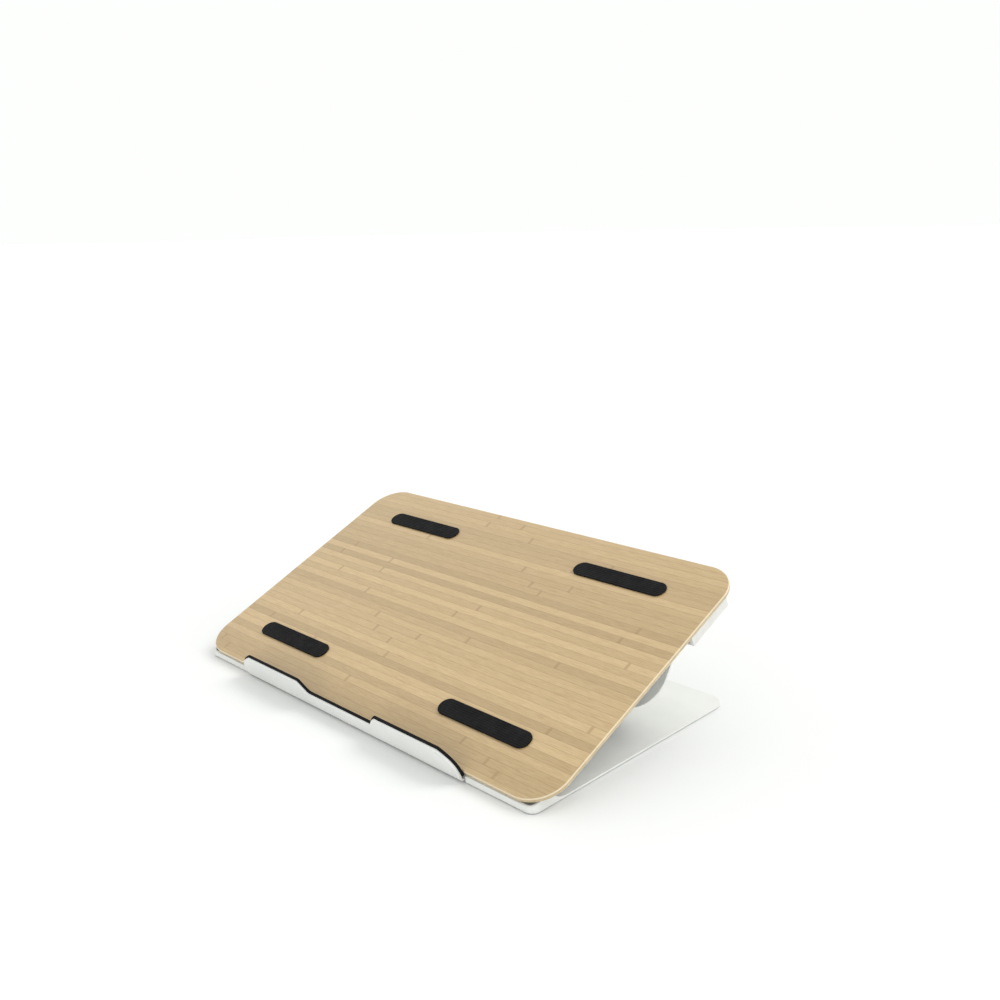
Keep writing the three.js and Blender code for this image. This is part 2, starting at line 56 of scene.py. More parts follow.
# ------------------------------------------------------------------ driving dimensions, as in the CAD
TILT = math.radians(24.2)  # slope of the tray when the stand is up
SHEET = 1.2  # thickness of every steel sheet
GAP = 0.3  # play between a sheet and what lies on it
CLEAR = 0.1  # radial play of pins and rivets in their holes

BASE_WIDTH = 304
BASE_DEPTH = 173.7
BASE_FRONT_CORNER = 5
BASE_REAR_CORNER = 12
BASE_UNDERSIDE = 0.6
BASE_TOP = BASE_UNDERSIDE + SHEET
LIP_RECESS = 5  # the base is cut back this far where the lip dips in front of it
LIP_SIDE_GAP = 1.1  # between the lip's end and the wall beside it

FOOT_RADIUS = 9
FOOT_HEIGHT = 0.5
FOOT_INSET = 18  # from the base's sides and rear edge to a foot's centre
FRONT_FOOT_Y = 20

WALL_TOP = 3.9  # low wall round each front corner, at the front
CHEEK_TOP = 8.1  # highest point of the wall, on the base's side
CHEEK_END_Y = 24  # the wall has run down into the sheet here

AXIS_HEIGHT = 5.9  # both hinge lines, above the table
TILT_AXIS_Y = 20.4  # from the front of the base
LEG_AXIS_Y = 108.4
LEG_LENGTH = 64  # hinge line to slide rod
ROD_OFFSET = 0.65  # slide rod's centre above the plane of the leg's hinge

BOARD_WIDTH = 319.6
BOARD_CORNER = 20.8
BOARD_THICKNESS = 3.1
BOARD_TOP = 9.9  # above the tilt hinge line, square to the tray
BOARD_FRONT = -18.95  # along the tray, from the tilt hinge line
BOARD_REAR = 171

LIP_FRONT = -22.1  # outer face of the lip, along the tray
LIP_HALF_WIDTH = 102.4
LIP_BEND = 2  # outer radius of the bend between lip and flange
TAB_TOP = 22.65
TAB_SHOULDER = 90.3  # where the tab's outer end starts to round off
TAB_CURVE_START = 8  # height where that rounding meets the tab's upright end
NOTCH_FLOOR = 14.9  # top of the lip between its two tabs
NOTCH_HALF_FLOOR = 29
NOTCH_HALF_TOP = 38.5
LINER_THICKNESS = 1.5
LINER_PROUD = 0.9

GRIP_HALF_LENGTH = 35
GRIP_HALF_WIDTH = 6
GRIP_X = 90
GRIP_FRONT_Y = 12
GRIP_REAR_Y = BOARD_REAR - 30
GRIP_UNDERSIDE = BOARD_TOP + 0.2
GRIP_TOP = BOARD_TOP + 1

HINGE_LENGTH = 44
BARREL_RADIUS = 2.6
PIN_RADIUS = 1.5
LEAF_THICKNESS = 1
LEAF_DEPTH = 15
RIVET_RADIUS = 1.2
RIVET_HEAD_RADIUS = 2.3
RIVET_HEAD_HEIGHT = 0.9
RIVET_SPACING = 28
RIVET_Y = 9.5
SCREW_RECESS_RADIUS = 1.0
SCREW_RECESS_FLOOR = -0.35
FRONT_HINGE_X = 80
LEG_HINGE_X = 96
KNUCKLE_END = 11  # length of each outer knuckle
KNUCKLE_PLAY = 0.4

ROD_RADIUS = 1.6
GLIDE_RADIUS = 2.0
RAIL_INNER_X = 147.5
RAIL_OUTER_X = 156
RAIL_FRONT = 119
RAIL_REAR = 156.5
RAIL_EAR = 8
RAIL_WALL = 2.5  # outer side of the channel
RAIL_FLOOR = 1.2
GROOVE_CENTRE = 0.36
GROOVE_HALF_HEIGHT = 2.7

TRAY_TOP = BOARD_TOP - BOARD_THICKNESS - GAP
TRAY_UNDERSIDE = TRAY_TOP - SHEET
LIP_BACK = LIP_FRONT + SHEET
TRAY_INSET = 2
TRAY_FRONT = BOARD_FRONT + 1.2
TRAY_FRONT_CORNER = 33
FLANGE_TOP = TRAY_UNDERSIDE - GAP
FLANGE_UNDERSIDE = FLANGE_TOP - SHEET
LIP_RIVET_XS = (-90, -32, 32, 90)
LIP_RIVET_Y = LIP_BACK + 8
FLANGE_REAR = LIP_BACK + 12.5
BASE_LEAF_REACH = AXIS_HEIGHT - BASE_TOP - GAP
TRAY_LEAF_REACH = TRAY_UNDERSIDE - 0.2
RAIL_SCREW_X = RAIL_INNER_X - RAIL_EAR / 2
RAIL_SCREW_YS = (RAIL_FRONT + RAIL_EAR / 2, RAIL_REAR + 1.5)
RAIL_EAR_UNDERSIDE = GROOVE_CENTRE + GROOVE_HALF_HEIGHT
LEG_HALF_WIDTH = 143
LEG_UNDERSIDE = 0.1
LEG_TOP = LEG_UNDERSIDE + SHEET
LEG_CORNER = 24
LEG_HEM_CORNER = 4
HEM_INSET = 5  # the hem ends this far inside the leg's sides
HEM_BORE = ROD_RADIUS + 0.15
HEM_RADIUS = HEM_BORE + 1.2
GLIDE_INNER_X = RAIL_INNER_X + 0.3
GLIDE_OUTER_X = RAIL_OUTER_X - 3.1
ROD_END_X = GLIDE_OUTER_X - 1.2

rod_reach = math.hypot(LEG_LENGTH, ROD_OFFSET)
rod_rise = ROD_OFFSET + (LEG_AXIS_Y - TILT_AXIS_Y) * math.sin(TILT)
LEG_ANGLE = TILT + math.asin(rod_rise / rod_reach) - math.atan2(ROD_OFFSET, LEG_LENGTH)
lip_top_y = TILT_AXIS_Y + LIP_FRONT * math.cos(TILT) - TAB_TOP * math.sin(TILT)
CENTRE_Y = (lip_top_y + BASE_DEPTH) / 2


# ------------------------------------------------------------------ places
def place(x=0, y=0, z=0, turn_x=0.0):
    """A frame at a point given in millimetres, turned about X."""
    return Matrix.Translation(Vector((x, y, z)) * MM) @ Matrix.Rotation(turn_x, 4, "X")


STAND = place(y=-CENTRE_Y)
TRAY = STAND @ place(y=TILT_AXIS_Y, z=AXIS_HEIGHT, turn_x=TILT)
LEG = STAND @ place(y=LEG_AXIS_Y, z=AXIS_HEIGHT, turn_x=LEG_ANGLE)
HALF_TURN_Y = Matrix.Rotation(math.pi, 4, "Y")
HALF_TURN_X = Matrix.Rotation(math.pi, 4, "X")
SIDES = (("left", -1), ("right", 1))


# ------------------------------------------------------------------ outlines
def arc(cx, cy, radius, start, end, steps=16):
    """Points on an arc, angles in degrees."""
    angles = [math.radians(start + (end - start) * i / steps) for i in range(steps + 1)]
    return [(cx + radius * math.cos(a), cy + radius * math.sin(a)) for a in angles]


def bezier(p0, p1, p2, p3, steps=20):
    points = []
    for i in range(steps + 1):
        t = i / steps
        s = 1 - t
        weights = (s**3, 3 * s * s * t, 3 * s * t * t, t**3)
        points.append(tuple(sum(w * p[k] for w, p in zip(weights, (p0, p1, p2, p3))) for k in (0, 1)))
    return points


def rounded_rectangle(x0, x1, y0, y1, front, rear, steps=16):
    return (
        arc(x1 - front, y0 + front, front, -90, 0, steps)
        + arc(x1 - rear, y1 - rear, rear, 0, 90, steps)
        + arc(x0 + rear, y1 - rear, rear, 90, 180, steps)
        + arc(x0 + front, y0 + front, front, 180, 270, steps)
    )


def without_repeats(points):
    kept = []
    for point in points:
        if not kept or math.dist(point, kept[-1]) > 1e-4:
            kept.append(point)
    if math.dist(kept[0], kept[-1]) < 1e-4:
        kept.pop()
    return kept


# ------------------------------------------------------------------ meshes
def to_xyz(along, a, b, h):
    """A point of an outline (a, b) at height h, drawn out along one axis."""
    return {"Z": (a, b, h), "X": (h, a, b), "Y": (a, h, b)}[along]


def prism(outline, low, high, along="Z", holes=()):
    """A closed bmesh in millimetres: an outline drawn out between two heights."""
    loops = [without_repeats(loop) for loop in (outline, *holes)]
    flat = [point for loop in loops for point in loop]
    triangles = tessellate_polygon([[Vector((*point, 0)) for point in loop] for loop in loops])
    mesh = bmesh.new()
    ends = [[mesh.verts.new(to_xyz(along, *point, h)) for point in flat] for h in (low, high)]
    for triangle in triangles:
        for end in ends:
            mesh.faces.new([end[i] for i in triangle])
    start = 0
    for loop in loops:
        count = len(loop)
        for i in range(count):
            a, b = start + i, start + (i + 1) % count
            mesh.faces.new([ends[0][a], ends[0][b], ends[1][b], ends[1][a]])
        start += count
    bmesh.ops.recalc_face_normals(mesh, faces=mesh.faces)
    bmesh.ops.dissolve_limit(mesh, angle_limit=0.001, verts=mesh.verts, edges=mesh.edges)
    return mesh


def lathe(profile, steps=40, along="Z"):
    """A closed bmesh turned about an axis: profile is (radius, height) from axis to axis."""
    mesh = bmesh.new()
    rings = []
    for radius, height in profile:
        turns = [2 * math.pi * i / steps for i in range(steps if radius > 1e-6 else 1)]
        spots = [(radius * math.cos(t), radius * math.sin(t)) for t in turns]
        rings.append([mesh.verts.new(to_xyz(along, a, b, height)) for a, b in spots])
    for ring, following in zip(rings, rings[1:]):
        for i in range(steps):
            corners = [ring[i % len(ring)], ring[(i + 1) % len(ring)]]
            corners += [following[(i + 1) % len(following)], following[i % len(following)]]
            corners = list(dict.fromkeys(corners))
            if len(corners) > 2:
                mesh.faces.new(corners)
    bmesh.ops.recalc_face_normals(mesh, faces=mesh.faces)
    return mesh


def drill(radius, x, y, low, high):
    return prism(arc(x, y, radius, 0, 360, 24), low, high)


def box(x0, x1, y0, y1, z0, z1):
    return prism([(x0, y0), (x1, y0), (x1, y1), (x0, y1)], z0, z1)


def to_object(mesh, name):
    bmesh.ops.scale(mesh, vec=(MM, MM, MM), verts=mesh.verts)
    data = bpy.data.meshes.new(name)
    mesh.to_mesh(data)
    mesh.free()
    obj = bpy.data.objects.new(name, data)
    bpy.context.scene.collection.objects.link(obj)
    return obj


def apply_modifiers(obj):
    depsgraph = bpy.context.evaluated_depsgraph_get()
    data = bpy.data.meshes.new_from_object(obj.evaluated_get(depsgraph))
    obj.modifiers.clear()
    obj.data = data


def combine(obj, meshes, operation):
    for mesh in meshes:
        tool = to_object(mesh, "tool")
        modifier = obj.modifiers.new("boolean", "BOOLEAN")
        modifier.operation = operation
        modifier.solver = "EXACT"
        modifier.object = tool
        apply_modifiers(obj)
        bpy.data.objects.remove(tool)


def finish_piece(mesh, name, place_at, body, node, material, edge=0.2, joined=(), cut=(), steps=3, angle=32):
    """Makes an object of a mesh, rounds its edges by `edge`, and has it stand for a CAD node."""
    obj = to_object(mesh, name)
    combine(obj, joined, "UNION")
    combine(obj, cut, "DIFFERENCE")
    if edge:
        bevel = obj.modifiers.new("edges", "BEVEL")
        bevel.width = edge * MM
        bevel.segments = steps
        bevel.limit_method = "ANGLE"
        bevel.angle_limit = math.radians(angle)
    weighted = obj.modifiers.new("normals", "WEIGHTED_NORMAL")
    weighted.keep_sharp = True
    weighted.weight = 90
    obj.data.shade_smooth()
    apply_modifiers(obj)
    obj.data.materials.clear()
    obj.data.materials.append(material)
    obj.matrix_world = place_at
    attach(obj, body)
    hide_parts(node)
    return obj


class Nodes:
    """A short way to write a node tree."""

    def __init__(self, name):
        self.material = bpy.data.materials.new(name)
        self.material.use_nodes = True
        self.tree = self.material.node_tree
        self.shader = self.tree.nodes["Principled BSDF"]
        self.place = self.add("ShaderNodeTexCoord").outputs["Object"]

    def add(self, kind, **settings):
        node = self.tree.nodes.new(kind)
        for key, value in settings.items():
            setattr(node, key, value)
        return node

    def link(self, source, target):
        self.tree.links.new(source, target)

    def stretched(self, x, y, z):
        mapping = self.add("ShaderNodeMapping")
        mapping.inputs["Scale"].default_value = (x, y, z)
        self.link(self.place, mapping.inputs["Vector"])
        return mapping.outputs["Vector"]

    def noise(self, scale, detail=2, vector=None, distortion=0.0):
        node = self.add("ShaderNodeTexNoise")
        node.inputs["Scale"].default_value = scale
        node.inputs["Detail"].default_value = detail
        node.inputs["Distortion"].default_value = distortion
        self.link(vector or self.place, node.inputs["Vector"])
        return node.outputs["Fac"]

    def ramp(self, fac, *stops):
        node = self.add("ShaderNodeValToRGB")
        elements = node.color_ramp.elements
        while len(elements) < len(stops):
            elements.new(0.5)
        for element, (position, colour) in zip(elements, stops):
            element.position = position
            element.color = (*colour, 1)
        self.link(fac, node.inputs["Fac"])
        return node.outputs["Color"]

    def span(self, fac, low, high, fac_low=0.3, fac_high=0.7):
        node = self.add("ShaderNodeMapRange")
        node.inputs["From Min"].default_value = fac_low
        node.inputs["From Max"].default_value = fac_high
        node.inputs["To Min"].default_value = low
        node.inputs["To Max"].default_value = high
        self.link(fac, node.inputs["Value"])
        return node.outputs["Result"]

    def math(self, operation, a, b=None):
        node = self.add("ShaderNodeMath", operation=operation)
        for socket, value in zip(node.inputs, (a, b)):
            if value is None:
                continue
            if isinstance(value, (int, float)):
                socket.default_value = value
            else:
                self.link(value, socket)
        return node.outputs["Value"]

    def mix(self, fac, a, b, blend="MIX"):
        node = self.add("ShaderNodeMix", data_type="RGBA", blend_type=blend)
        for name, value in (("Factor", fac), ("A", a), ("B", b)):
            socket = [s for s in node.inputs if s.name == name and s.enabled][0]
            if isinstance(value, (int, float)):
                socket.default_value = value
            elif isinstance(value, tuple):
                socket.default_value = (*value, 1)
            else:
                self.link(value, socket)
        return [s for s in node.outputs if s.enabled][0]

    def bump(self, height, strength, distance_mm, onto=None):
        node = self.add("ShaderNodeBump")
        node.inputs["Strength"].default_value = strength
        node.inputs["Distance"].default_value = distance_mm * MM
        self.link(height, node.inputs["Height"])
        if onto:
            self.link(onto, node.inputs["Normal"])
        return node.outputs["Normal"]

    def done(self, colour, roughness, normal, **fixed):
        self.link(colour, self.shader.inputs["Base Color"])
        self.link(roughness, self.shader.inputs["Roughness"])
        self.link(normal, self.shader.inputs["Normal"])
        for name, value in fixed.items():
            self.shader.inputs[name.replace("_", " ")].default_value = value
        return self.material


def powder_coat():
    """Fine satin white coat: soft orange peel, a little unevenness in gloss and tone."""
    n = Nodes("powder_coat")
    tone = n.noise(35, 3)
    speckle = n.noise(2600, 1)
    peel = n.noise(900, 2)
    colour = n.ramp(tone, (0.3, (0.725, 0.73, 0.705)), (0.7, (0.785, 0.788, 0.765)))
    roughness = n.span(n.noise(240, 3), 0.36, 0.5)
    normal = n.bump(speckle, 0.10, 0.02, n.bump(peel, 0.22, 0.03))
    return n.done(colour, roughness, normal, Coat_Weight=0.12, Coat_Roughness=0.25, IOR=1.5)


def bamboo_board():
    """Side-pressed bamboo strips along the board, with fibres, knuckle bars and a clear lacquer."""
    n = Nodes("bamboo_board")
    split = n.add("ShaderNodeSeparateXYZ")
    n.link(n.place, split.inputs[0])
    x, y = split.outputs["X"], split.outputs["Y"]
    strip_width = 5.2 * MM
    bar_spacing = 260 * MM
    glue_height = BOARD_TOP - 1.25
    glue_half = 0.11
    strip_place = n.math("DIVIDE", y, strip_width)
    strip = n.math("FLOOR", strip_place)
    strip_tone = n.add("ShaderNodeTexWhiteNoise", noise_dimensions="1D")
    n.link(strip, strip_tone.inputs["W"])
    across = n.math("FRACT", strip_place)
    seam = n.math("LESS_THAN", n.math("ABSOLUTE", n.math("SUBTRACT", across, 0.5)), 0.47)
    # Each strip's knuckle bars: thin dark lines across the grain, shifted from strip to strip.
    shift = n.math("MULTIPLY", strip_tone.outputs["Value"], bar_spacing)
    bar_place = n.math("FRACT", n.math("DIVIDE", n.math("ADD", x, shift), bar_spacing))
    bar = n.math("LESS_THAN", n.math("ABSOLUTE", n.math("SUBTRACT", bar_place, 0.5)), 0.004)
    fibres = n.noise(60, 5, n.stretched(2.2, 95, 95), 0.15)
    fine = n.noise(60, 3, n.stretched(9, 420, 420))
    fibre_colour = n.ramp(
        fibres, (0.30, (0.44, 0.295, 0.135)), (0.5, (0.545, 0.39, 0.20)), (0.72, (0.62, 0.465, 0.26))
    )
    strip_shade = n.ramp(strip_tone.outputs["Value"], (0.0, (0.80, 0.78, 0.74)), (1.0, (1.08, 1.08, 1.08)))
    colour = n.mix(1.0, fibre_colour, strip_shade, "MULTIPLY")
    colour = n.mix(n.span(fine, 0.0, 0.35, 0.45, 0.75), colour, (0.36, 0.235, 0.10))
    colour = n.mix(n.math("MULTIPLY", bar, 0.45), colour, (0.30, 0.185, 0.075))
    colour = n.mix(n.math("SUBTRACT", 1.0, seam), colour, n.mix(0.5, colour, (0.25, 0.16, 0.07)))
    # Painted highlight along the rim: the rounded top edge is painted paler than the face, and the board
    # below the glue line is painted a little paler too.
    edge_height = n.math("SUBTRACT", (BOARD_TOP - 0.06) * MM, split.outputs["Z"])
    below_face = n.span(edge_height, 0.0, 0.75, 0.0, 0.12 * MM)
    above_glue = n.span(edge_height, 1.0, 0.35, 0.8 * MM, 1.2 * MM)
    painted_rim_highlight = n.math("MULTIPLY", below_face, above_glue)
    colour = n.mix(painted_rim_highlight, colour, (0.78, 0.68, 0.48))
    # The glue line between the board's two layers, seen only on its rim.
    height = n.math("SUBTRACT", split.outputs["Z"], glue_height * MM)
    layer_gap = n.math("GREATER_THAN", n.math("ABSOLUTE", height), glue_half * MM)
    glue = n.math("SUBTRACT", 1.0, layer_gap)
    colour = n.mix(n.math("MULTIPLY", glue, 0.6), colour, (0.26, 0.17, 0.08))
    roughness = n.span(fibres, 0.30, 0.44)
    normal = n.bump(layer_gap, 0.5, 0.12, n.bump(fine, 0.12, 0.03, n.bump(seam, 0.15, 0.05)))
    return n.done(colour, roughness, normal, Coat_Weight=0.55, Coat_Roughness=0.16, IOR=1.48)


def rubber(name, dark, light, ribs=False):
    """Moulded rubber with a fine matt grain, bloom and, on the strips, low ribs."""
    n = Nodes(name)
    bloom = n.noise(90, 4)
    grain = n.noise(3200, 2)
    colour = n.ramp(bloom, (0.35, dark), (0.75, light))
    roughness = n.span(n.noise(420, 3), 0.62, 0.82)
    normal = n.bump(grain, 0.35, 0.04)
    if ribs:
        wave = n.add("ShaderNodeTexWave", wave_type="BANDS", bands_direction="Y", wave_profile="SIN")
        wave.inputs["Scale"].default_value = 210
        n.link(n.place, wave.inputs["Vector"])
        normal = n.bump(wave.outputs["Fac"], 0.7, 0.3, normal)
    return n.done(colour, roughness, normal, IOR=1.35, Specular_IOR_Level=0.2)


def metal(name, dark, light, stretch, rough):
    """Steel with drawn streaks, faint clouding and small scratches."""
    n = Nodes(name)
    streaks = n.noise(60, 4, n.stretched(*stretch))
    cloud = n.noise(160, 3)
    scratches = n.noise(30, 2, n.stretched(30, 3, 30), 1.5)
    colour = n.mix(n.span(cloud, 0.0, 1.0), dark, light)
    colour = n.mix(n.span(streaks, 0.0, 0.25), colour, (0.42, 0.42, 0.43))
    roughness = n.math("ADD", n.span(streaks, *rough), n.span(scratches, 0.0, 0.08, 0.6, 0.7))
    normal = n.bump(streaks, 0.12, 0.02)
    return n.done(colour, roughness, normal, Metallic=1.0, Anisotropic=0.35)


def nylon():
    """Off-white moulded nylon: slightly waxy, with a fine sparked texture."""
    n = Nodes("nylon")
    colour = n.ramp(n.noise(140, 4), (0.3, (0.70, 0.69, 0.655)), (0.7, (0.77, 0.765, 0.735)))
    roughness = n.span(n.noise(700, 3), 0.42, 0.58)
    normal = n.bump(n.noise(2400, 2), 0.18, 0.03)
    return n.done(colour, roughness, normal, Subsurface_Weight=0.08, Subsurface_Scale=0.001, IOR=1.53)


POWDER = powder_coat()
BAMBOO = bamboo_board()
PAD_RUBBER = rubber("moulded_rubber", (0.005, 0.005, 0.0055), (0.010, 0.010, 0.0105))
GRIP_RUBBER = rubber("ribbed_rubber", (0.006, 0.006, 0.0065), (0.012, 0.012, 0.0125), ribs=True)
FOOT_RUBBER = rubber("foot_rubber", (0.055, 0.056, 0.060), (0.085, 0.086, 0.090))
ZINC = metal("zinc_steel", (0.56, 0.57, 0.58), (0.66, 0.665, 0.66), (6, 70, 70), (0.28, 0.42))
GROUND = metal("ground_steel", (0.58, 0.585, 0.59), (0.68, 0.68, 0.685), (40, 60, 60), (0.16, 0.28))
NYLON = nylon()


# ------------------------------------------------------------------ hinges and fasteners
def knuckle_spans(outer):
    half = HINGE_LENGTH / 2
    if outer:
        return [(-half, -half + KNUCKLE_END), (half - KNUCKLE_END, half)]
    return [(-half + KNUCKLE_END + KNUCKLE_PLAY, half - KNUCKLE_END - KNUCKLE_PLAY)]


def hinge_leaf(name, place_at, body, node, outer, reach):
    """A leaf with its outer face at height `reach` over the hinge line and its flange to +Y."""
    barrel = [(-BARREL_RADIUS, reach)] + arc(0, 0, BARREL_RADIUS, 180, 360, 28) + [(BARREL_RADIUS, reach)]
    bore = arc(0, 0, PIN_RADIUS + CLEAR, 0, 360, 36)
    half = HINGE_LENGTH / 2
    corner = 2.5
    outline = [(-half, BARREL_RADIUS - 0.5), (half, BARREL_RADIUS - 0.5)]
    outline += arc(half - corner, LEAF_DEPTH - corner, corner, 0, 90, 8)
    outline += arc(corner - half, LEAF_DEPTH - corner, corner, 90, 180, 8)
    flange = prism(outline, reach - LEAF_THICKNESS, reach)
    knuckles = [prism(barrel, a, b, "X", [bore]) for a, b in knuckle_spans(outer)]
    hole_xs = (-RIVET_SPACING / 2, RIVET_SPACING / 2)
    holes = [drill(RIVET_RADIUS + CLEAR, x, RIVET_Y, reach - 3, reach + 3) for x in hole_xs]
    return finish_piece(flange, name, place_at, body, node, ZINC, 0.18, knuckles, holes)


def rivet_profile(length):
    """Domed head under height zero with a rolled edge, and a plain shank above."""
    dome = [(0, -RIVET_HEAD_HEIGHT)]
    for i in range(1, 10):
        angle = math.radians(90 * i / 9)
        height = -RIVET_HEAD_HEIGHT * (0.14 + 0.86 * math.cos(angle))
        dome.append((RIVET_HEAD_RADIUS * math.sin(angle), height))
    shank = [(RIVET_HEAD_RADIUS - 0.1, 0), (RIVET_RADIUS, 0), (RIVET_RADIUS, length - 0.15)]
    return dome + shank + [(RIVET_RADIUS - 0.15, length), (0, length)]


def rivet(node, place_at, body, x, y, z, length, recess=False):
    """A rivet, or a screw with a hexagonal recess, with its head at z. A negative length points it down."""
    turn = HALF_TURN_X if length < 0 else Matrix.Identity(4)
    at = place_at @ place(x, y, z) @ turn
    mesh = lathe(rivet_profile(abs(length)), 28)
    hexagon = arc(0, 0, SCREW_RECESS_RADIUS, 0, 360, 6)
    cut = [prism(hexagon, -2, SCREW_RECESS_FLOOR)] if recess else []
    edge = 0.06 if recess else 0
    return finish_piece(mesh, f"{node}_look", at, body, node, ZINC, edge, cut=cut, steps=2, angle=50)


def leaf_rivets(prefix, place_at, body, y, z, length):
    for end, index in ((-1, 1), (1, 2)):
        rivet(f"{prefix}_{index}", place_at, body, end * RIVET_SPACING / 2, y, z, length)


def hole_tools(hinge_x, y, low, high):
    spots = [sign * hinge_x + end * RIVET_SPACING / 2 for sign in (-1, 1) for end in (-1, 1)]
    return [drill(RIVET_RADIUS + CLEAR, x, y, low - 1, high + 1) for x in spots]


def rod_profile(radius, low, high, chamfer=0.3):
    start = [(0, low), (radius - chamfer, low), (radius, low + chamfer)]
    return start + [(radius, high - chamfer), (radius - chamfer, high), (0, high)]


# ------------------------------------------------------------------ base
half_base = BASE_WIDTH / 2
wall_start = LIP_HALF_WIDTH + LIP_SIDE_GAP


def wall_edge():
    """The wall's top edge as (y, z): level at the front, up along the side, rounded down to the sheet."""
    rise_y = 0.33
    peak_y = rise_y + (CHEEK_TOP - WALL_TOP) / math.tan(TILT)
    end_z = BASE_TOP + GAP
    peak = (peak_y, CHEEK_TOP)
    curve = bezier(peak, (peak_y + 5.5, CHEEK_TOP + 1), (peak_y + 6, end_z), (CHEEK_END_Y, end_z), 20)
    return [(-1, WALL_TOP), (rise_y, WALL_TOP)] + curve


def height_at(y, edge):
    for (y0, z0), (y1, z1) in zip(edge, edge[1:]):
        if y <= y1:
            return z0 + (z1 - z0) * (y - y0) / (y1 - y0)
    return edge[-1][1]


def base_plate():
    """One closed skin: the sheet, cut back behind the lip, with a low wall round each front corner."""
    front = BASE_FRONT_CORNER
    rear = BASE_REAR_CORNER
    edge = wall_edge()
    side_ys = [y for y, _ in edge if y > front + 0.2]
    centre_x = half_base - front
    outer = [(wall_start, 0)] + arc(centre_x, front, front, -90, 0, 8)
    outer += [(half_base, y) for y in side_ys]
    inner = [(wall_start, SHEET)] + arc(centre_x, front, front - SHEET, -90, 0, 8)
    inner += [(half_base - SHEET, y) for y in side_ys]
    recess = [(wall_start, LIP_RECESS)]
    end = [(half_base, CHEEK_END_Y)]
    back = arc(half_base - rear, BASE_DEPTH - rear, rear, 0, 90, 24)
    mesh = bmesh.new()

    def level(points, sign, z):
        return [mesh.verts.new((sign * x, y, z)) for x, y in points]

    def along_edge(points, sign):
        return [mesh.verts.new((sign * x, y, height_at(y, edge))) for x, y in points]

    def strip(low, high):
        for k in range(len(low) - 1):
            mesh.faces.new([low[k], low[k + 1], high[k + 1], high[k]])

    def half(sign):
        """One half's skin; returns its under and upper rings, from the recess to the rear middle."""
        low_recess = level(recess, sign, BASE_UNDERSIDE)
        low_outer = level(outer, sign, BASE_UNDERSIDE)
        low_back = level(back, sign, BASE_UNDERSIDE)
        edge_outer = along_edge(outer, sign)
        edge_inner = along_edge(inner, sign)
        top_recess = level(recess, sign, BASE_TOP)
        top_inner = level(inner, sign, BASE_TOP)
        top_end = level(end, sign, BASE_TOP)
        top_back = level(back, sign, BASE_TOP)
        strip(low_outer[:-1], edge_outer[:-1])
        mesh.faces.new(low_outer[-2:] + top_end + [edge_outer[-1], edge_outer[-2]])
        strip(edge_outer, edge_inner)
        strip(edge_inner, top_inner)
        strip(low_back, top_back)
        mesh.faces.new(low_recess + [low_outer[0], edge_outer[0], edge_inner[0], top_inner[0]] + top_recess)
        mesh.faces.new([edge_outer[-1], edge_inner[-1], top_inner[-1]] + top_end)
        mesh.faces.new([low_outer[-1], low_back[0], top_back[0]] + top_end)
        return low_recess + low_outer + low_back, top_recess + top_inner + top_end + top_back

    under, over = half(1)
    under_left, over_left = half(-1)
    mesh.faces.new(under + under_left[::-1])
    mesh.faces.new(over + over_left[::-1])
    for k in (0, -1):
        mesh.faces.new([under[k], over[k], over_left[k], under_left[k]])
    bmesh.ops.recalc_face_normals(mesh, faces=mesh.faces)
    holes = hole_tools(FRONT_HINGE_X, TILT_AXIS_Y + RIVET_Y, BASE_UNDERSIDE, BASE_TOP)
    holes += hole_tools(LEG_HINGE_X, LEG_AXIS_Y - RIVET_Y, BASE_UNDERSIDE, BASE_TOP)
    finish_piece(mesh, "base_plate_look", STAND, "base", "base_plate", POWDER, 0.3, cut=holes)


def feet():
    radius = FOOT_RADIUS
    profile = [(0, 0.1), (2.4, 0.1), (2.6, 0), (radius - 0.25, 0), (radius - 0.06, 0.07), (radius, 0.2)]
    profile += [(radius, FOOT_HEIGHT - 0.1), (radius - 0.1, FOOT_HEIGHT), (0, FOOT_HEIGHT)]
    for row, y in (("front", FRONT_FOOT_Y), ("rear", BASE_DEPTH - FOOT_INSET)):
        for side, sign in SIDES:
            at = STAND @ place(sign * (half_base - FOOT_INSET), y)
            node = f"foot_{row}_{side}"
            finish_piece(lathe(profile, 56), f"{node}_look", at, "base", node, FOOT_RUBBER, 0)


def base_hinge(name, axis_y, hinge_x, direction):
    for side, sign in SIDES:
        at = STAND @ place(sign * hinge_x, axis_y, AXIS_HEIGHT)
        turn = HALF_TURN_Y if direction > 0 else HALF_TURN_X
        leaf = f"{name}_base_leaf_{side}"
        hinge_leaf(f"{leaf}_look", at @ turn, "base", leaf, True, BASE_LEAF_REACH)
        pin = f"{name}_pin_{side}"
        end = HINGE_LENGTH / 2 - 0.5
        mesh = lathe(rod_profile(PIN_RADIUS, -end, end), 32, "X")
        finish_piece(mesh, f"{pin}_look", at, "base", pin, GROUND, 0)
        head = LEAF_THICKNESS - BASE_LEAF_REACH
        shank = BASE_UNDERSIDE - AXIS_HEIGHT - head
        leaf_rivets(f"{name}_base_rivet_{side}", at, "base", direction * RIVET_Y, head, shank)


base_plate()
feet()
base_hinge("tilt_hinge", TILT_AXIS_Y, FRONT_HINGE_X, 1)
base_hinge("leg_hinge", LEG_AXIS_Y, LEG_HINGE_X, -1)


# ------------------------------------------------------------------ tray
def top_board():
    half = BOARD_WIDTH / 2
    outline = rounded_rectangle(-half, half, BOARD_FRONT, BOARD_REAR, BOARD_CORNER, BOARD_CORNER, 40)
    mesh = prism(outline, BOARD_TOP - BOARD_THICKNESS, BOARD_TOP)
    finish_piece(mesh, "top_board_look", TRAY, "tray", "top_board", BAMBOO, 0.8, steps=5)


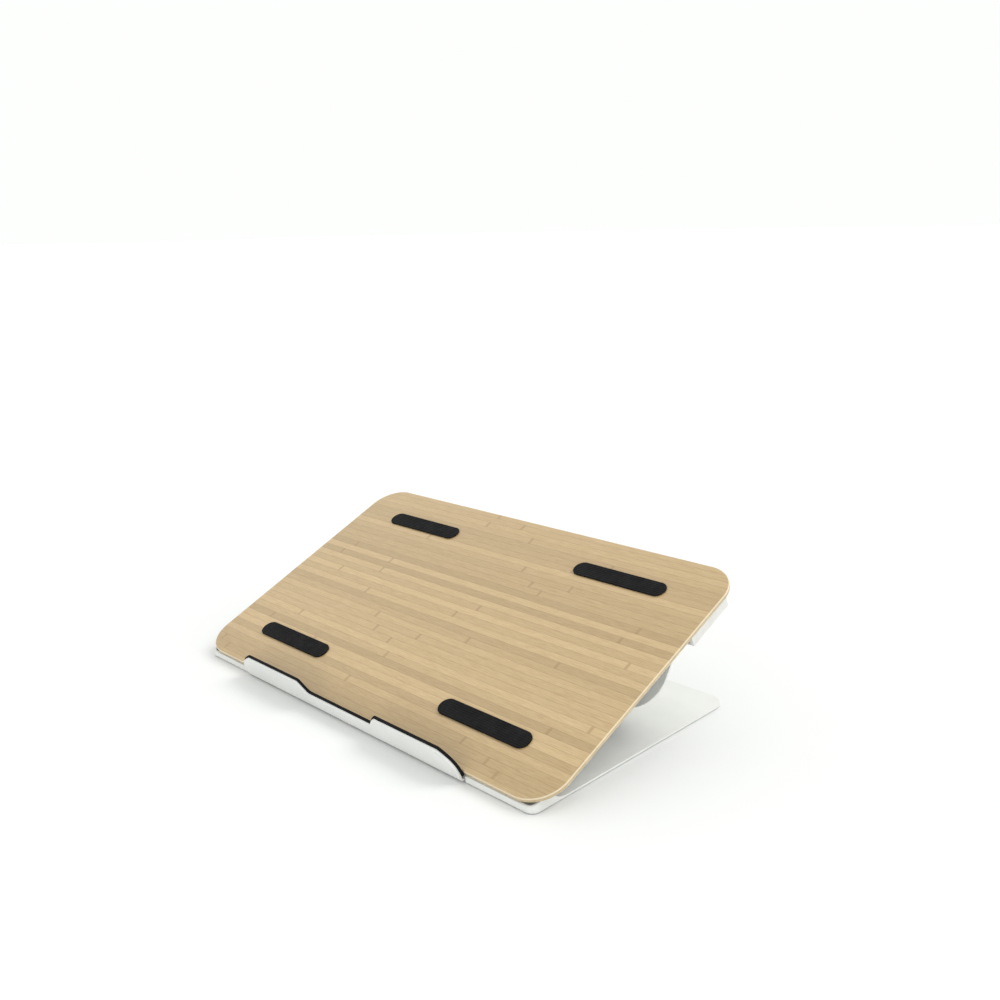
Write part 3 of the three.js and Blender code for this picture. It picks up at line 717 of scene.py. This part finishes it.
def tray_plate():
    half = BOARD_WIDTH / 2 - TRAY_INSET
    rear = BOARD_REAR - TRAY_INSET
    rear_corner = BOARD_CORNER - TRAY_INSET
    outline = rounded_rectangle(-half, half, TRAY_FRONT, rear, TRAY_FRONT_CORNER, rear_corner, 36)
    holes = hole_tools(FRONT_HINGE_X, RIVET_Y, TRAY_UNDERSIDE, TRAY_TOP)
    spots = [(x, LIP_RIVET_Y) for x in LIP_RIVET_XS]
    spots += [(sign * RAIL_SCREW_X, y) for _, sign in SIDES for y in RAIL_SCREW_YS]
    holes += [drill(RIVET_RADIUS + CLEAR, x, y, TRAY_UNDERSIDE - 1, TRAY_TOP + 1) for x, y in spots]
    mesh = prism(outline, TRAY_UNDERSIDE, TRAY_TOP)
    finish_piece(mesh, "tray_plate_look", TRAY, "tray", "tray_plate", POWDER, 0.25, cut=holes)


def lip_half(proud=0.0):
    """The lip's right half in (x, height), from the tab's foot over its top and down to the notch."""
    outer = LIP_HALF_WIDTH + proud
    shoulder = TAB_SHOULDER + proud / 2
    top = TAB_TOP + proud
    low = NOTCH_FLOOR + proud
    notch_top = NOTCH_HALF_TOP - proud / 2
    notch_low = NOTCH_HALF_FLOOR - proud / 2
    foot = (outer, TAB_CURVE_START)
    end = bezier(foot, (outer, 15.4), (shoulder + 8.7, 18.9 + proud), (shoulder, top), 28)
    notch = bezier((notch_top, top), (notch_top - 3.3, top), (notch_low + 3.4, low), (notch_low, low), 24)
    return end + notch


def front_lip():
    """One sheet: flange, bend and a wall whose height follows the two tabs."""
    right = lip_half()
    stations = [(-x, h) for x, h in right] + [(x, h) for x, h in reversed(right)]
    stations = without_repeats(stations)
    bend = LIP_BEND
    centre_y = LIP_FRONT + bend
    centre_z = FLANGE_UNDERSIDE + bend
    outside = [(FLANGE_REAR, FLANGE_UNDERSIDE)] + arc(centre_y, centre_z, bend, 270, 180, 12)
    inside = [(FLANGE_REAR, FLANGE_TOP)] + arc(centre_y, centre_z, bend - SHEET, 270, 180, 12)
    levels = 6
    mesh = bmesh.new()
    rows = []
    for x, height in stations:
        rises = [centre_z + (height - centre_z) * i / levels for i in range(1, levels + 1)]
        section = outside + [(LIP_FRONT, z) for z in rises]
        section += [(LIP_BACK, z) for z in reversed(rises)] + list(reversed(inside))
        rows.append([mesh.verts.new((x, y, z)) for y, z in section])
    count = len(rows[0])
    for row, following in zip(rows, rows[1:]):
        for j in range(count):
            k = (j + 1) % count
            mesh.faces.new([row[j], row[k], following[k], following[j]])
    for row in (rows[0], rows[-1]):
        for j in range(count // 2 - 1):
            mesh.faces.new([row[j], row[j + 1], row[count - 2 - j], row[count - 1 - j]])
    bmesh.ops.recalc_face_normals(mesh, faces=mesh.faces)
    low, high = FLANGE_UNDERSIDE - 1, FLANGE_TOP + 1
    holes = [drill(RIVET_RADIUS + CLEAR, x, LIP_RIVET_Y, low, high) for x in LIP_RIVET_XS]
    finish_piece(mesh, "front_lip_look", TRAY, "tray", "front_lip", POWDER, 0.35, cut=holes)
    for index, x in enumerate(LIP_RIVET_XS):
        node = f"lip_rivet_{index + 1}"
        rivet(node, TRAY, "tray", x, LIP_RIVET_Y, FLANGE_UNDERSIDE, TRAY_TOP - FLANGE_UNDERSIDE)


def lip_liner():
    right = lip_half(LINER_PROUD)
    bottom = TAB_CURVE_START - 0.5
    outline = [(-right[0][0], bottom), (right[0][0], bottom)] + right + [(-x, z) for x, z in reversed(right)]
    front = LIP_BACK + 0.15
    mesh = prism(outline, front, front + LINER_THICKNESS, "Y")
    finish_piece(mesh, "lip_liner_look", TRAY, "tray", "lip_liner", PAD_RUBBER, 0.3)


def grip_strips():
    length, width = GRIP_HALF_LENGTH, GRIP_HALF_WIDTH
    corner = width - 0.01
    outline = rounded_rectangle(-length, length, -width, width, corner, corner, 20)
    for row, y in (("front", GRIP_FRONT_Y), ("rear", GRIP_REAR_Y)):
        for side, sign in SIDES:
            node = f"grip_strip_{row}_{side}"
            at = TRAY @ place(sign * GRIP_X, y)
            mesh = prism(outline, GRIP_UNDERSIDE, GRIP_TOP)
            finish_piece(mesh, f"{node}_look", at, "tray", node, GRIP_RUBBER, 0.3)


def tray_hinges():
    for side, sign in SIDES:
        at = TRAY @ place(sign * FRONT_HINGE_X)
        leaf = f"tilt_hinge_tray_leaf_{side}"
        hinge_leaf(f"{leaf}_look", at, "tray", leaf, False, TRAY_LEAF_REACH)
        head = TRAY_LEAF_REACH - LEAF_THICKNESS
        leaf_rivets(f"tilt_hinge_tray_rivet_{side}", at, "tray", RIVET_Y, head, TRAY_TOP - head)


def guide_rails():
    top = TRAY_UNDERSIDE - GAP
    groove = GROOVE_CENTRE - GROOVE_HALF_HEIGHT
    bottom = groove - RAIL_FLOOR
    back = RAIL_OUTER_X - RAIL_WALL
    inner, outer, ear = RAIL_INNER_X, RAIL_OUTER_X, RAIL_EAR_UNDERSIDE
    profile = [(inner, bottom), (outer, bottom), (outer, top), (inner, top)]
    profile += [(inner, ear), (back, ear), (back, groove), (inner, groove)]
    half = RAIL_EAR / 2
    for side, sign in SIDES:
        node = f"guide_rail_{side}"
        channel = prism([(sign * x, z) for x, z in profile], RAIL_FRONT, RAIL_REAR, "Y")
        ends = sorted((sign * (RAIL_INNER_X - RAIL_EAR), sign * (RAIL_INNER_X + 1)))
        ears = [box(*ends, y - half, y + half, RAIL_EAR_UNDERSIDE, top) for y in RAIL_SCREW_YS]
        holes = [drill(RIVET_RADIUS + CLEAR, sign * RAIL_SCREW_X, y, 0, top + 1) for y in RAIL_SCREW_YS]
        finish_piece(channel, f"{node}_look", TRAY, "tray", node, NYLON, 0.3, ears, holes)
        for index, y in enumerate(RAIL_SCREW_YS):
            screw = f"rail_screw_{side}_{index + 1}"
            length = TRAY_TOP - RAIL_EAR_UNDERSIDE
            rivet(screw, TRAY, "tray", sign * RAIL_SCREW_X, y, RAIL_EAR_UNDERSIDE, length, recess=True)


top_board()
tray_plate()
front_lip()
lip_liner()
grip_strips()
tray_hinges()
guide_rails()


# ------------------------------------------------------------------ leg
def leg_plate():
    start = BARREL_RADIUS + 1.9
    end = LEG_LENGTH - HEM_BORE - 0.5
    half = LEG_HALF_WIDTH
    outline = rounded_rectangle(-half, half, start, end, LEG_CORNER, LEG_HEM_CORNER, 30)
    sheet = prism(outline, LEG_UNDERSIDE, LEG_TOP)
    ring = arc(LEG_LENGTH, ROD_OFFSET, HEM_RADIUS, 0, 360, 40)
    bore = arc(LEG_LENGTH, ROD_OFFSET, HEM_BORE, 0, 360, 32)
    hem = prism(ring, HEM_INSET - half, half - HEM_INSET, "X", [bore])
    holes = hole_tools(LEG_HINGE_X, RIVET_Y, LEG_UNDERSIDE, LEG_TOP)
    finish_piece(sheet, "leg_plate_look", LEG, "leg", "leg_plate", POWDER, 0.25, [hem], holes)


def slide_rod():
    at = LEG @ place(y=LEG_LENGTH, z=ROD_OFFSET)
    mesh = lathe(rod_profile(ROD_RADIUS, -ROD_END_X, ROD_END_X), 36, "X")
    finish_piece(mesh, "slide_rod_look", at, "leg", "slide_rod", GROUND, 0)
    bore = ROD_RADIUS + CLEAR
    length = GLIDE_OUTER_X - GLIDE_INNER_X
    deep = ROD_END_X + 0.2 - GLIDE_INNER_X
    wide = GLIDE_RADIUS
    profile = [(0, deep), (bore, deep), (bore, 0.1), (bore + 0.1, 0), (wide - 0.1, 0), (wide, 0.1)]
    profile += [(wide, length - 0.6), (wide - 0.15, length - 0.2), (wide - 0.5, length), (0, length)]
    for side, sign in SIDES:
        node = f"rod_glide_{side}"
        cap = lathe([(r, sign * (GLIDE_INNER_X + h)) for r, h in profile], 36, "X")
        finish_piece(cap, f"{node}_look", at, "leg", node, NYLON, 0)


def leg_hinges():
    for side, sign in SIDES:
        at = LEG @ place(sign * LEG_HINGE_X)
        leaf = f"leg_hinge_leg_leaf_{side}"
        hinge_leaf(f"{leaf}_look", at, "leg", leaf, False, BARREL_RADIUS)
        length = LEG_UNDERSIDE - BARREL_RADIUS
        leaf_rivets(f"leg_hinge_leg_rivet_{side}", at, "leg", RIVET_Y, BARREL_RADIUS, length)


leg_plate()
slide_rod()
leg_hinges()


# ------------------------------------------------------------------ floor, light and camera
def floor_material():
    """Pale floor with painted shade: a shade deeper round the stand, paler further out."""
    n = Nodes("pale_floor")
    away = n.add("ShaderNodeVectorMath", operation="LENGTH")
    n.link(n.place, away.inputs[0])
    # Painted shade: the floor's colour is darker near the stand and fades to paler further out.
    reach = n.span(away.outputs["Value"], 0.0, 1.0, 0.2, 1.3)
    mottle = n.ramp(n.noise(3, 2), (0.3, (0.81, 0.815, 0.81)), (0.7, (0.825, 0.83, 0.825)))
    colour = n.mix(reach, mottle, (0.95, 0.95, 0.95))
    roughness = n.span(n.noise(60, 2), 0.55, 0.65)
    return n.done(colour, roughness, n.bump(n.noise(900, 2), 0.05, 0.02))


def floor():
    data = bpy.data.meshes.new("floor")
    mesh = bmesh.new()
    bmesh.ops.create_grid(mesh, x_segments=4, y_segments=4, size=40.0)
    mesh.to_mesh(data)
    mesh.free()
    obj = bpy.data.objects.new("floor", data)
    bpy.context.scene.collection.objects.link(obj)
    obj.data.materials.append(floor_material())


def sun(direction_to, strength, angle, colour):
    """Broad soft light from one side of the sky; it reaches the whole floor alike."""
    data = bpy.data.lights.new("sun", "SUN")
    data.energy = strength
    data.angle = math.radians(angle)
    data.color = colour
    obj = bpy.data.objects.new("sun", data)
    bpy.context.scene.collection.objects.link(obj)
    obj.rotation_euler = Vector(direction_to).to_track_quat("Z", "Y").to_euler()


def fill(position, target, size, watts):
    """Low soft light from the front, for the faces turned towards the user."""
    data = bpy.data.lights.new("fill", "AREA")
    data.shape = "RECTANGLE"
    data.size, data.size_y = size
    data.energy = watts
    obj = bpy.data.objects.new("fill", data)
    bpy.context.scene.collection.objects.link(obj)
    obj.location = position
    obj.rotation_euler = (Vector(target) - Vector(position)).to_track_quat("-Z", "Y").to_euler()


def world(towards, dim, bright):
    """White studio: bright towards one side, falling off to the other."""
    scene_world = bpy.data.worlds.new("studio")
    bpy.context.scene.world = scene_world
    scene_world.use_nodes = True
    tree = scene_world.node_tree
    spot = tree.nodes.new("ShaderNodeTexCoord")
    facing = tree.nodes.new("ShaderNodeVectorMath")
    facing.operation = "DOT_PRODUCT"
    facing.inputs[1].default_value = Vector(towards).normalized()
    level = tree.nodes.new("ShaderNodeMapRange")
    level.interpolation_type = "SMOOTHSTEP"
    level.inputs["From Min"].default_value = -0.95
    level.inputs["From Max"].default_value = -0.2
    level.inputs["To Min"].default_value = dim
    level.inputs["To Max"].default_value = bright
    tree.links.new(spot.outputs["Generated"], facing.inputs[0])
    tree.links.new(facing.outputs["Value"], level.inputs["Value"])
    background = tree.nodes["Background"]
    background.inputs["Color"].default_value = (0.985, 1.0, 0.985, 1)
    tree.links.new(level.outputs["Result"], background.inputs["Strength"])


def camera():
    """The photograph's viewpoint: low at the front right corner, looking back to the left."""
    x, y, z = 469.5, -335.3, 283.0
    data = bpy.data.cameras.new("camera")
    data.lens = 37.65
    data.sensor_width = 36
    data.clip_start = 0.01
    obj = bpy.data.objects.new("camera", data)
    bpy.context.scene.collection.objects.link(obj)
    right = Vector((0.7101, 0.7038, -0.0202)).normalized()
    forward = Vector((-0.6848, 0.6837, -0.2522)).normalized()
    up = right.cross(forward).normalized()
    right = forward.cross(up)
    turned = Matrix((right, up, -forward)).transposed().to_4x4()
    obj.matrix_world = place(x, y - CENTRE_Y, z) @ turned
    bpy.context.scene.camera = obj


bpy.context.scene.view_settings.view_transform = "Standard"
floor()
world(towards=(0.3, 0.8, 0.5), dim=0.5, bright=1.0)
sun(direction_to=(0.45, 0.7, 1.0), strength=1.1, angle=40, colour=(1.0, 0.99, 0.97))
fill(position=(0.5, -1.3, 0.12), target=(0, -0.08, 0.01), size=(1.2, 0.24), watts=3.0)
camera()
